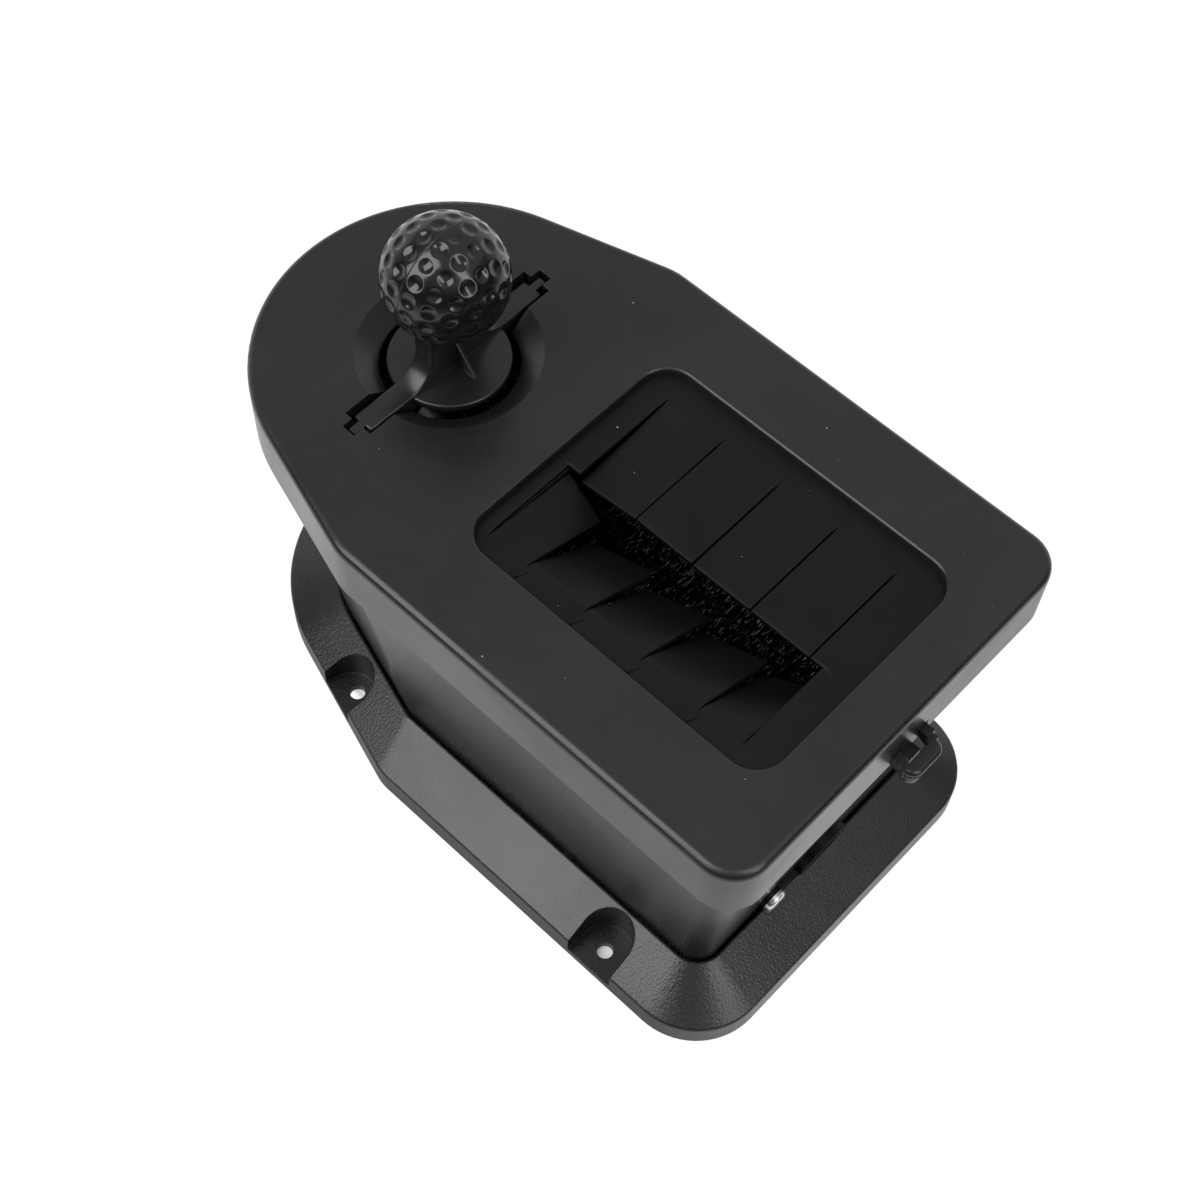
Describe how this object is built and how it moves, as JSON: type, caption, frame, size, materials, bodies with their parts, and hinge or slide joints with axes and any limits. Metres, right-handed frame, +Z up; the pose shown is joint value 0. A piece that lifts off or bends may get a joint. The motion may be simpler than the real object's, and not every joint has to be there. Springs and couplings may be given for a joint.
{
  "type": "golf club and ball washer",
  "caption": "Golf-cart washer for clubs and balls: a flared tub with a hinged lid, rubber flaps over club brushes, and a ball plunger with a dimpled round knob.",
  "frame": {"origin": "centre of the bounding box's bottom face, in the plane that the base stands on", "axes": "+Z up, +Y from the latch end to the round hinge end, +X to the right of someone facing the latch end from outside and looking along +Y"},
  "size_m": [0.1624, 0.2842, 0.215],
  "materials": {
    "shell_plastic": "satin moulded black",
    "base_plastic": "grained moulded black",
    "knob_plastic": "glossy moulded black",
    "rubber": "dull black",
    "brush_back": "matte",
    "bristle": "nylon",
    "steel": "zinc plated"
  },
  "bodies": {
    "base": {"mounting_base": "base_plastic", "tub": "shell_plastic", "rim_gasket": "rubber", "hinge_pin": "steel", "plug_tether": "rubber", "tether_screw": "steel", "latch_catch": "shell_plastic", "base_screw_1": "steel", "base_screw_2": "steel", "base_screw_3": "steel", "base_screw_4": "steel"},
    "drain": {"drain_plug": "rubber"},
    "lid": {"lid": "shell_plastic", "latch_pin": "steel", "flap_sheet_left": "rubber", "flap_sheet_right": "rubber", "club_frame": "shell_plastic", "club_block_left": "brush_back", "club_block_right": "brush_back", "club_bristles_left": "bristle", "club_bristles_right": "bristle", "ball_cage": "shell_plastic", "ball_block_front": "brush_back", "ball_block_back": "brush_back", "ball_bristles_front": "bristle", "ball_bristles_back": "bristle", "frame_screw_1": "steel", "frame_screw_2": "steel", "frame_screw_3": "steel", "frame_screw_4": "steel", "frame_screw_5": "steel", "frame_screw_6": "steel", "cage_screw_1": "steel", "cage_screw_2": "steel", "cage_screw_3": "steel", "cage_screw_4": "steel"},
    "latch": {"latch": "shell_plastic"},
    "plunger": {"plunger_paddle": "shell_plastic", "plunger_knob": "knob_plastic"}
  },
  "joints": [
    {"name": "lid_hinge", "type": "hinge", "parent": "base", "child": "lid", "pos_m": [0, 0.1377, 0.1295], "axis": [-1, 0, 0], "range_deg": [0, 100]},
    {"name": "latch_pivot", "type": "hinge", "parent": "lid", "child": "latch", "pos_m": [0, -0.1309, 0.1354], "axis": [-1, 0, 0], "range_deg": [0, 28]},
    {"name": "plunger_slide", "type": "slide", "parent": "lid", "child": "plunger", "axis": [0, 0, 1], "range_m": [0, 0.0745]},
    {"name": "drain_pull", "type": "slide", "parent": "base", "child": "drain", "axis": [0, -0.989, -0.1476], "range_m": [0, 0.02]}
  ]
}
